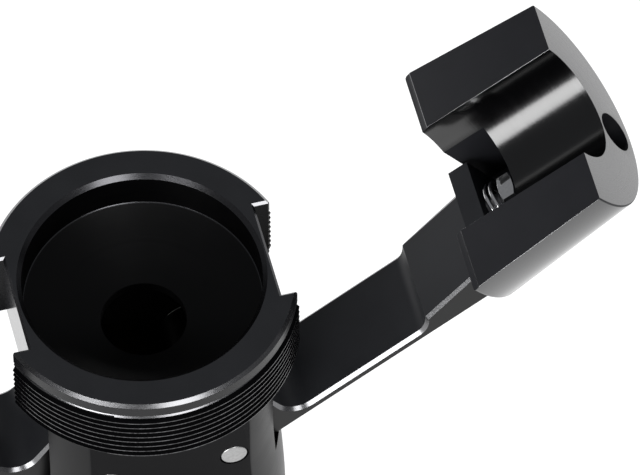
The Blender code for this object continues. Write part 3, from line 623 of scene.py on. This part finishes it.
def make_hub():
    """Hub with two flats, the arms' slot and the bores for the laser, cells, screws and button."""
    profile = [(BODY_R - 0.3, HUB_BOTTOM), (BODY_R, HUB_BOTTOM + 0.3)]
    for index in range(NECK_STEPS + 1):
        share = index / NECK_STEPS
        ease = share * share * (3 - 2 * share)
        profile.append((BODY_R + (NECK_R - BODY_R) * ease, NECK_START_Z + NECK_HEIGHT * share))
    profile += [(NECK_R, HUB_TOP), (0, HUB_TOP), (0, HUB_BOTTOM)]
    hub = turned("hub_visual", profile, ROUND)
    reach = BODY_R + 2
    cut(hub, block("front", (-reach, -reach, FLAT_LOW_Z), (reach, -FLAT_Y, HUB_TOP + 1)))
    cut(hub, block("back", (-reach, FLAT_Y, FLAT_LOW_Z), (reach, reach, HUB_TOP + 1)))
    slope = math.tan(OPEN_ANGLE)
    start_x = PIVOT_X + SLOT_FLOOR_N * math.sin(OPEN_ANGLE)
    start_z = PIVOT_Z - SLOT_FLOOR_N * math.cos(OPEN_ANGLE)
    inner_x = start_x + (SLOT_FLOOR_Z - start_z) / slope
    outer_x = BODY_R + 10
    outer_z = SLOT_FLOOR_Z + (outer_x - inner_x) * slope
    right = [(inner_x, SLOT_FLOOR_Z), (outer_x, outer_z), (outer_x, COLLAR_Z + 5)]
    outline = right + [(-x, z) for x, z in reversed(right)]
    cut(hub, lofted("slot", [across(outline, -SLOT_HALF_WIDTH), across(outline, SLOT_HALF_WIDTH)]))
    cut(hub, rod("laser_bay", LASER_BAY_R, CELL_BAY_TOP - 1, SLOT_FLOOR_Z + 1, FINE))
    cut(hub, rod("cell_bay", CELL_BAY_R, HUB_BOTTOM - 1, CELL_BAY_TOP, 128))
    for x in (-PIVOT_X, PIVOT_X):
        at = Matrix.Translation((x, 0, PIVOT_Z)) @ ALONG_Y
        cut(hub, rod("pin", PIN_R + PIN_HOLE_GAP, -reach, reach, FINE, at))
    low = CELL_BAY_TOP - 1
    high = HUB_TOP + 2.3
    step = [(0, low), (COLLAR_SCREW_HEAD_R, low), (COLLAR_SCREW_HEAD_R, COLLAR_SCREW_HEAD_Z)]
    step += [(COLLAR_SCREW_HOLE_R, COLLAR_SCREW_HEAD_Z), (COLLAR_SCREW_HOLE_R, high), (0, high)]
    for x in (-COLLAR_SCREW_X, COLLAR_SCREW_X):
        for y in (-COLLAR_SCREW_Y, COLLAR_SCREW_Y):
            cut(hub, turned("screw_hole", step, 32, Matrix.Translation((x, y, 0))))
    for angle in GRUB_ANGLES:
        cut(hub, rod("grub", GRUB_HOLE_R, 5, BODY_R + 2, 48, grub_frame(angle)))
    at = Matrix.Translation((0, 0, BUTTON_Z)) @ ALONG_Y
    cut(hub, rod("button", BUTTON_HOLE_R, BUTTON_HOLE_START, PAST, FINE, at))
    cut(hub, rod("bezel", BEZEL_SEAT_R, BEZEL_SEAT_START, PAST, FINE, at))
    soften(hub, 0.16, 35)

    def rule(centre, normal):
        radius = math.hypot(centre.x, centre.y)
        if abs(normal.y) > 0.98 and abs(centre.y) > FLAT_Y - 0.05 and centre.z > FLAT_LOW_Z:
            return "flat"
        if radius > NECK_R - 0.4 and abs(normal.z) < 0.3:
            return "turned"
        if abs(centre.y) < SLOT_HALF_WIDTH + 0.02 and centre.z > SLOT_FLOOR_Z - 0.05:
            return "slot"
        return "flat"
    # Flats and sides take the darkened blacks, painted shade below the collar; the arm slot takes the
    # near-black finish, painted shade inside the slot.
    paint(hub, {"flat": hub_painted_shade, "turned": hub_side_painted_shade, "slot": painted_shade_black}, rule)
    place(hub, "base", "hub_body", "black_anodised")


# ---- arms --------------------------------------------------------------------------------------------
def on_plate(s, thickness):
    """Point on the tilted plate: thickness 0 is its underside."""
    return (s, PLATE_LOW_N + PLATE_TILT * (s - HEEL_S) + thickness)


def arm_outline():
    """Side view of an arm, and the range of its points that carry the edge chamfer."""
    heel = on_plate(HEEL_S, 0)
    before = [heel, on_plate(TOE_S - 0.6, 0), on_plate(TOE_S, 0.6), (TOE_S, STUB_BOTTOM_N)]
    before += [(STUB_END_S, STUB_BOTTOM_N), (STUB_END_S, STUB_TOP_N), (STUB_START_S, STUB_TOP_N)]
    low = on_plate(STEP_START_S, PLATE_THICKNESS)
    ramp = [(STUB_START_S, RAMP_TOP_N)]
    for index in range(STEP_POINTS, -1, -1):
        share = index / STEP_POINTS
        rise = (STEP_TOP_N - low[1]) * share ** STEP_CURVE
        ramp.append((STEP_START_S + (STEP_END_S - STEP_START_S) * share, low[1] + rise))
    start = on_plate(ROOT_WALL_S + ROOT_FILLET, PLATE_THICKNESS)
    fillet = arc((start[0], start[1] + ROOT_FILLET), ROOT_FILLET, 270, 180, 16)
    wall = math.degrees(math.acos(ROOT_WALL_S / KNUCKLE_R))
    distance = math.hypot(*heel)
    tangent = math.degrees(math.atan2(heel[1], heel[0]) - math.acos(KNUCKLE_R / distance)) % 360
    knuckle = arc((0, 0), KNUCKLE_R, wall, tangent, 40)
    chamfered = ramp + fillet
    return before + chamfered + knuckle, len(before), len(before) + len(chamfered) - 1


def inset(outline, first, last, depth):
    """Move a run of outline points inwards, at right angles to the outline."""
    moved = list(outline)
    for index in range(first, last + 1):
        before = Vector(outline[index - 1 if index > first else index])
        after = Vector(outline[(index + 1) % len(outline)])
        along = (after - before).normalized()
        local = depth * (0.5 if index == first else 1.0)
        moved[index] = tuple(Vector(outline[index]) + Vector((-along.y, along.x)) * local)
    return moved


def make_arm():
    """Arm with its knuckle, in the frame of its hinge."""
    outline, first, last = arm_outline()
    edge = inset(outline, first, last, EDGE_CHAMFER)
    inner = ARM_HALF_WIDTH - EDGE_CHAMFER
    sections = [across(edge, -ARM_HALF_WIDTH), across(outline, -inner), across(outline, inner),
                across(edge, ARM_HALF_WIDTH)]
    arm = lofted("arm", sections)
    knuckle_r = KNUCKLE_R - 0.05
    width = KNUCKLE_HALF_WIDTH
    rings = [(knuckle_r - 0.2, -width), (knuckle_r, 0.2 - width)]
    rings += [(knuckle_r, width - 0.2), (knuckle_r - 0.2, width)]
    join(arm, drum("knuckle", rings, 96, ALONG_Y))
    hole_r = PIN_R + KNUCKLE_HOLE_GAP
    cut(arm, drum("hole", [(hole_r, -9), (hole_r, 9)], FINE, ALONG_Y))
    at = Matrix.Translation((0, 0, SCREW_N)) @ ALONG_X
    cut(arm, rod("tap", SCREW_R + SCREW_HOLE_GAP, 40.2, 44, 48, at))

    def rule(centre, normal):
        on_chamfer = 0.3 < abs(normal.y) < 0.95 and abs(centre.y) < ARM_HALF_WIDTH
        if on_chamfer and centre.z > PLATE_LOW_N + 0.3 and centre.x > ROOT_WALL_S - 0.3:
            return "edge"
        # The knuckle, down in the hub's slot, takes the near-black finish: painted shade.
        if math.hypot(centre.x, centre.z) < KNUCKLE_R + 0.1 and centre.x < ROOT_WALL_S - 0.2:
            return "knuckle"
        return "body"
    paint(arm, {"edge": cut_edge, "knuckle": painted_shade_black, "body": blasted}, rule)
    return arm


# ---- jaws --------------------------------------------------------------------------------------------
def make_jaw():
    """Half of the tapered sleeve, in the frame of its arm's hinge."""
    axis = Matrix.Translation((0, 0, PIVOT_X)) @ ALONG_X
    round_r = 0.45
    profile = [(0, JAW_INNER_S)] + arc((JAW_INNER_R - round_r, JAW_INNER_S + round_r), round_r, -90, 0, 4)
    profile += arc((JAW_OUTER_R - 0.3, JAW_OUTER_S - 0.3), 0.3, 0, 90, 4) + [(0, JAW_OUTER_S)]
    jaw = turned("jaw", profile, ROUND, axis)
    start = JAW_INNER_S - 1
    end = JAW_OUTER_S + 1
    cut(jaw, block("split", (start, -PAST, JAW_FLAT_N), (end, PAST, JAW_FLAT_N + PAST)))
    bevel = [(JAW_INNER_S - 1.1, JAW_FLAT_N - 0.7), (JAW_INNER_S + 0.86, JAW_FLAT_N - 0.1),
             (JAW_INNER_S + 1.46, JAW_FLAT_N + 0.5), (JAW_INNER_S - 1.1, JAW_FLAT_N + 0.5)]
    cut(jaw, lofted("bevel", [across(bevel, -PAST), across(bevel, PAST)]))
    at = Matrix.Translation((0, 0, JAW_FLAT_N)) @ ALONG_X
    cut(jaw, rod("trough", TROUGH_R, start, end, ROUND, at))
    low = (start, -POCKET_HALF_WIDTH, POCKET_FLOOR_N)
    cut(jaw, block("pocket", low, (POCKET_END_S, POCKET_HALF_WIDTH, JAW_FLAT_N + 1)))
    hole = Matrix.Translation((0, 0, SCREW_N)) @ ALONG_X
    head_s = JAW_OUTER_S - COUNTERBORE_DEPTH
    cut(jaw, rod("counterbore", HEAD_R + 0.15, head_s, end, FINE, hole))
    cut(jaw, rod("shank", SCREW_R + SCREW_HOLE_GAP, POCKET_END_S - 1, head_s + 1, 48, hole))
    soften(jaw, 0.13, 40)

    def rule(centre, normal):
        radius = math.hypot(centre.y, centre.z - PIVOT_X)
        trough = math.hypot(centre.y, centre.z - JAW_FLAT_N)
        if centre.z > JAW_FLAT_N - 0.13 and 0.2 < normal.z < 0.93:
            return "edge"
        if abs(centre.x - JAW_INNER_S) < 0.12 and centre.z > JAW_FLAT_N - 0.6 and -0.95 < normal.x < -0.4:
            return "edge"
        # The outer end face gets the lightened black: painted light on that face.
        if normal.x > 0.9 and centre.x > JAW_OUTER_S - 0.1:
            return "end"
        # The trough gets the darkened black: painted shade in the hollow.
        if abs(normal.x) < 0.1 and trough < TROUGH_R + 0.1 and centre.z > -0.3:
            return "trough"
        if radius > JAW_OUTER_R - 0.8 and abs(normal.x) < 0.3 and normal.z < 0.5:
            return "sleeve"
        return "body"
    finishes = {"body": jaw_black, "trough": trough_painted_shade, "sleeve": sleeve_black,
                "end": end_painted_light, "edge": cut_edge}
    paint(jaw, finishes, rule)
    return jaw


def hexagon(radius, turn, height):
    """Six corners of a hexagon at a height."""
    turns = [turn + math.pi * corner / 3 for corner in range(6)]
    return [(radius * math.cos(angle), radius * math.sin(angle), height) for angle in turns]


def make_jaw_screw():
    """Socket head screw with a hexagon socket, a chamfered round head and a threaded shank."""
    seat = JAW_OUTER_S - COUNTERBORE_DEPTH + 0.3
    top = seat + 2.5
    profile = [(0, 40.5), (1.2, 40.5), (1.45, 40.8)]
    z = 40.95
    while z < POCKET_END_S:
        profile += [(1.45, z), (1.22, z + 0.2)]
        z += 0.4
    profile += [(1.45, z), (1.45, seat), (2.3, seat), (2.45, seat + 0.15), (2.45, top - 0.35)]
    profile += [(2.2, top), (1.5, top), (1.4, top - 0.1), (0, top - 0.1)]
    screw = turned("jaw_screw", profile, 48, Matrix.Translation((0, 0, SCREW_N)) @ ALONG_X)
    sections = [hexagon(1.3, 0, top - 1.5), hexagon(1.3, 0, top + 1)]
    cut(screw, lofted("socket", sections, Matrix.Translation((0, 0, SCREW_N)) @ ALONG_X))
    coat(screw, steel)
    return screw


def make_jaw_nut():
    """Hexagon nut with both faces chamfered."""
    high = POCKET_END_S - 0.3
    low = high - 2.1
    at = Matrix.Translation((0, 0, SCREW_N)) @ ALONG_X @ Matrix.Rotation(math.pi / 6, 4, "Z")
    nut = lofted("jaw_nut", [hexagon(3.17, 0, low), hexagon(3.17, 0, high)], at)
    cone = [(0, low), (2.75, low), (3.2, low + 0.28), (3.2, high - 0.28), (2.75, high), (0, high)]
    shape(nut, "INTERSECT", turned("cone", cone, FINE, at))
    bore = [(0, low - 1), (1.95, low - 1), (1.95, low), (1.55, low + 0.35)]
    bore += [(1.55, high - 0.35), (1.95, high), (1.95, high + 1), (0, high + 1)]
    cut(nut, turned("bore", bore, 48, at))
    soften(nut, 0.04, 25)
    coat(nut, chrome)
    return nut


def make_jaw_spring():
    """Spring between the arm's stub and the nut."""
    at = Matrix.Translation((0, 0, SCREW_N)) @ ALONG_X
    spring = coil("jaw_spring", 3.1, 0.5, SPRING_START_S, 44.6, 2.0, at)
    coat(spring, chrome)
    return spring


def make_pin():
    """Hinge pin with rounded ends, flush with the hub's flats."""
    edge = 0.25
    profile = [(0, -FLAT_Y), (PIN_R - 0.4, -FLAT_Y)] + arc((PIN_R - edge, -FLAT_Y + edge), edge, -90, 0, 4)
    profile += arc((PIN_R - edge, FLAT_Y - edge), edge, 0, 90, 4) + [(PIN_R - 0.4, FLAT_Y), (0, FLAT_Y)]
    pin = turned("hinge_pin", profile, FINE, ALONG_Y)
    coat(pin, pin_chrome)
    return pin


def make_washer(sign):
    """Washer beside the knuckle: sign -1 is in front of it in the hinge's own frame."""
    low, high = 7.2, 7.6
    inner = PIN_R + KNUCKLE_HOLE_GAP
    profile = [(inner, low + 0.06), (inner + 0.06, low), (4.44, low), (4.5, low + 0.06), (4.5, high - 0.06),
               (4.44, high), (inner + 0.06, high), (inner, high - 0.06)]
    washer = turned("washer", [(radius, -sign * height) for radius, height in profile], FINE, ALONG_Y)
    coat(washer, nylon)
    return washer


def make_sides():
    """Both hinges with everything that folds on them."""
    makers = {
        "arm": (make_arm(), "{}_arm", "black_anodised"),
        "jaw": (make_jaw(), "{}_jaw", "black_anodised"),
        "jaw_screw": (make_jaw_screw(), "{}_arm", "steel"),
        "jaw_nut": (make_jaw_nut(), "{}_jaw", "chrome"),
        "jaw_spring": (make_jaw_spring(), "{}_arm", "chrome"),
        "hinge_pin": (make_pin(), "base", "chrome"),
    }
    for side, sign in (("right", 1), ("left", -1)):
        turn = Matrix.Rotation(0 if sign > 0 else math.pi, 4, "Z") @ Matrix.Rotation(-OPEN_ANGLE, 4, "Y")
        at = Matrix.Translation(Vector((sign * PIVOT_X, 0, PIVOT_Z)) * MM) @ turn
        for name, (model, body, slot) in makers.items():
            piece = bpy.data.objects.new(f"{side}_{name}_visual", model.data.copy())
            bpy.context.scene.collection.objects.link(piece)
            place(piece, body.format(side), f"{side}_{name}", slot, at)
            if name == "jaw_spring":
                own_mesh(piece)
        for end, facing in (("front", -sign), ("back", sign)):
            place(make_washer(facing), "base", f"{side}_{end}_washer", "nylon", at)
    for maker in makers.values():
        bpy.data.objects.remove(maker[0], do_unlink=True)


# ---- lower body --------------------------------------------------------------------------------------
def make_cap():
    """Screw cap with a fine straight knurl between two plain lands."""
    count = 192

    def level(radius, depth, z):
        """Ring of points at a height, with every second one set in by the knurl's depth."""
        points = []
        for index in range(count):
            turn = 2 * math.pi * index / count
            local = radius - (depth if index % 2 else 0.0)
            points.append((local * math.cos(turn), local * math.sin(turn), z))
        return points
    sections = [level(CAP_R - 0.8, 0, 0), level(CAP_R - 0.15, 0, 0.65), level(CAP_R - 0.15, 0, 1.3),
                level(CAP_R, 0.35, 1.5), level(CAP_R, 0.35, 7.5), level(CAP_R - 0.15, 0, 7.7),
                level(CAP_R - 0.15, 0, 8.6), level(CAP_R - 0.55, 0, 9.0)]
    cap = lofted("cap_visual", sections)
    spigot = [(0, 3.5), (12.1, 3.5), (13.1, 4.5), (13.1, 10.0), (11.8, 10.0), (11.8, 12.0), (13.1, 12.0)]
    z = 12.2
    while z < 15.1:
        spigot += [(13.1, z), (12.75, z + 0.3)]
        z += 0.6
    spigot += [(12.9, 15.5), (0, 15.5)]
    join(cap, turned("spigot", spigot, 128))
    cut(cap, rod("bore", 6.1, 2.5, 17, FINE))
    cut(cap, block("coin_slot", (-9, -1.0, -1), (9, 1.0, 0.8)))
    coat(cap, turned_z)
    place(cap, "base", "battery_cap", "black_anodised")


def make_button():
    """Push button with its bezel and return spring."""
    at = Matrix.Translation((0, 0, BUTTON_Z)) @ ALONG_Y
    profile = [(0, 14.5), (2.9, 14.5)] + arc((2.6, 17.35), 0.3, 0, 80, 5)
    profile += [(1.9, 17.8), (1.0, 17.87), (0, 17.9)]
    button = turned("button_visual", profile, FINE, at)
    coat(button, red)
    place(button, "button", "push_button", "button_plastic")
    profile = [(3.05, 15.4), (5.0, 15.4), (5.0, 17.0)] + arc((4.75, 17.15), 0.25, 0, 90, 5)
    profile += arc((3.3, 17.15), 0.25, 90, 180, 5)
    bezel = turned("bezel_visual", profile, 96, at)
    coat(bezel, chrome)
    place(bezel, "base", "button_bezel", "chrome")
    start = BUTTON_HOLE_START + 0.3
    spring = coil("button_spring_visual", 2.4, 0.3, start, 14.2, 1.5, at)
    coat(spring, steel)
    place(spring, "base", "button_spring", "steel")
    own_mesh(spring)


def make_grub_screws():
    """Three set screws with hexagon sockets and threaded shanks."""
    for number, angle in enumerate(GRUB_ANGLES, 1):
        at = grub_frame(angle)
        profile = [(0, 6.3), (0.9, 6.3), (1.2, 6.6)]
        z = 6.8
        while z < 12.0:
            profile += [(1.48, z), (1.25, z + 0.25)]
            z += 0.5
        profile += [(1.4, 12.15), (1.25, 12.3), (0, 12.3)]
        grub = turned(f"grub_screw_{number}_visual", profile, 40, at)
        cut(grub, lofted("socket", [hexagon(0.87, 0, 10.7), hexagon(0.87, 0, 13)], at))
        coat(grub, steel)
        place(grub, "base", f"collimation_screw_{number}", "steel")


def coat_hidden():
    """The CAD nodes that stay in view inside the body get their own procedural finish."""
    inside = {
        "laser_barrel": brass, "lens_ring": brass, "contact_spring": brass, "laser_diode": steel,
        "collimating_lens": glass, "driver_board": board, "cap_o_ring": rubber,
        "button_cell_1": steel, "button_cell_2": steel, "button_cell_3": steel,
        "collar_screw_1": steel, "collar_screw_2": steel, "collar_screw_3": steel, "collar_screw_4": steel,
    }
    for name, one in inside.items():
        coat(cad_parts[name], one)


# ---- studio ------------------------------------------------------------------------------------------
def make_floor():
    """Plain pale floor."""
    size = 6.0
    mesh = bpy.data.meshes.new("floor")
    corners = [(-size, -size, 0), (size, -size, 0), (size, size, 0), (-size, size, 0)]
    mesh.from_pydata(corners, [], [(0, 1, 2, 3)])
    floor = bpy.data.objects.new("floor", mesh)
    bpy.context.scene.collection.objects.link(floor)
    made = bpy.data.materials.new("pale_floor")
    made.use_nodes = True
    shader = made.node_tree.nodes["Principled BSDF"]
    shader.inputs["Base Color"].default_value = (0.35, 0.35, 0.35, 1)
    shader.inputs["Roughness"].default_value = 0.9
    shader.inputs["Specular IOR Level"].default_value = 0.0
    shader.inputs["Emission Color"].default_value = (1, 1, 1, 1)
    shader.inputs["Emission Strength"].default_value = 0.97
    mesh.materials.append(made)


def softbox(name, direction, distance, size, radiance, in_reflections=True):
    """A square softbox that faces the object."""
    target = Vector(LIT_POINT)
    out = Vector(direction).normalized()
    data = bpy.data.lights.new(name, "AREA")
    data.shape = "SQUARE"
    data.size = size
    data.energy = radiance * math.pi * size * size
    lamp = bpy.data.objects.new(name, data)
    bpy.context.scene.collection.objects.link(lamp)
    lamp.visible_glossy = in_reflections
    lamp.location = target + out * distance
    lamp.rotation_euler = out.to_track_quat("Z", "Y").to_euler()


def make_studio():
    """Floor, pale surroundings and softboxes."""
    make_floor()
    world = bpy.context.scene.world or bpy.data.worlds.new("studio")
    bpy.context.scene.world = world
    world.use_nodes = True
    back = world.node_tree.nodes["Background"]
    back.inputs["Color"].default_value = (0.94, 0.96, 1.0, 1)
    back.inputs["Strength"].default_value = 0.2
    softbox("left_front_low", (-0.64, -0.72, 0.27), 0.7, 0.32, 10.0)
    softbox("front", (0.14, -0.83, 0.55), 0.75, 0.3, 7.0)
    softbox("left_high", (-0.8, 0.15, 0.5), 0.7, 0.5, 1.5, in_reflections=False)
    softbox("back", (0.35, 0.9, 0.12), 1.1, 0.5, 4.0)


def make_camera():
    """Long lens, from the front and above."""
    collar_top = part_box("threaded_collar")[1].z
    at = Vector((*CAMERA_PLACE, collar_top + CAMERA_ABOVE_COLLAR))
    forward = Vector(CAMERA_FORWARD).normalized()
    right = forward.cross(Vector((0, 0, 1))).normalized()
    up = right.cross(forward)
    turn = Matrix((right, up, -forward)).transposed().to_4x4()
    data = bpy.data.cameras.new("camera")
    data.lens = CAMERA_LENS
    data.sensor_width = 36
    data.dof.use_dof = False
    data.clip_start = 0.01
    data.clip_end = 50
    camera = bpy.data.objects.new("camera", data)
    bpy.context.scene.collection.objects.link(camera)
    camera.matrix_world = Matrix.Translation(at) @ turn @ Matrix.Rotation(math.radians(CAMERA_ROLL), 4, "Z")
    bpy.context.scene.camera = camera


bpy.context.scene.view_settings.view_transform = "Standard"
make_collar()
make_hub()
make_sides()
make_cap()
make_button()
make_grub_screws()
coat_hidden()
make_studio()
make_camera()
